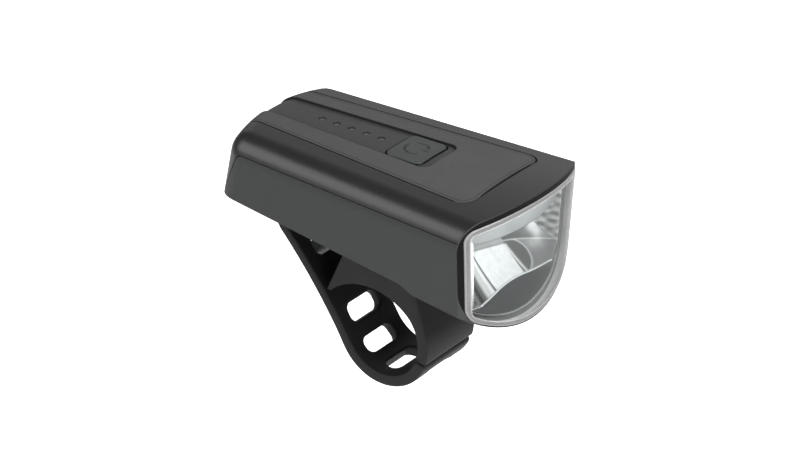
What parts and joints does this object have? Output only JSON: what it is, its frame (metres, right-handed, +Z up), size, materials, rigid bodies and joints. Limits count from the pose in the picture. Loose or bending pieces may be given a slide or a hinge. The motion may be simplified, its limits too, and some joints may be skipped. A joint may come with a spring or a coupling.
{
  "type": "bike headlight",
  "caption": "Compact handlebar headlight with bowed clear lens, faceted reflector, top button, battery gauge and a slotted rubber strap loop.",
  "frame": {"origin": "on the handlebar's axis at the middle of the rubber seat", "axes": "+X along the beam, +Y to the rider's left along the handlebar, +Z up"},
  "size_m": [0.0967, 0.0534, 0.0694],
  "materials": {
    "cover": "satin black",
    "panel": "fine grained",
    "strip": "smooth satin",
    "pipe": "clear moulding",
    "button": "matt",
    "switch": "moulded",
    "plunger": "moulded",
    "board": "solder mask",
    "light": "clear resin",
    "chip": "moulded",
    "plug": "moulded",
    "cell": "foil",
    "pad": "foam",
    "screw": "machined",
    "socket": "plated",
    "flap": "matt",
    "housing": "satin dark grey",
    "gasket": "matt",
    "lens": "clear",
    "mirror": "vacuum metallised",
    "mask": "satin",
    "trim": "frosted",
    "led": "resin dome",
    "sink": "anodised",
    "rubber": "matt",
    "key": "filled nylon"
  },
  "bodies": {
    "lamp": {"top_cover": "cover", "top_panel": "panel", "centre_strip": "strip", "light_pipes": "pipe", "switch_body": "switch", "driver_board": "board", "gauge_lights": "light", "driver_chip": "chip", "battery_plug": "plug", "battery_cell": "cell", "cell_pad": "pad", "board_screws": "screw", "charge_board": "board", "usb_socket": "socket", "lower_housing": "housing", "seam_gasket": "gasket", "housing_screws": "screw", "front_lens": "lens", "lens_seal": "gasket", "reflector": "mirror", "reflector_mask": "mask", "upper_trim": "trim", "lamp_board": "board", "lamp_led": "led", "heat_sink": "sink", "lamp_screws": "screw", "strap_saddle": "rubber", "saddle_key": "key", "key_screws": "screw"},
    "button": {"power_button": "button", "switch_plunger": "plunger"},
    "strap": {"strap": "rubber"},
    "port_flap": {"port_flap": "flap"}
  },
  "joints": [
    {"name": "button_press", "type": "slide", "parent": "lamp", "child": "button", "axis": [0, 0, -1], "range_m": [0, 0.0006], "stiffness_N_per_m": 600},
    {"name": "strap_swing", "type": "hinge", "parent": "lamp", "child": "strap", "pos_m": [0.0121, 0, -0.00643], "axis": [0, -1, 0], "range_deg": [0, 75]},
    {"name": "port_flap_swing", "type": "hinge", "parent": "lamp", "child": "port_flap", "pos_m": [-0.05007, 0, 0.03424], "axis": [0, -1, 0], "range_deg": [0, 95]}
  ]
}
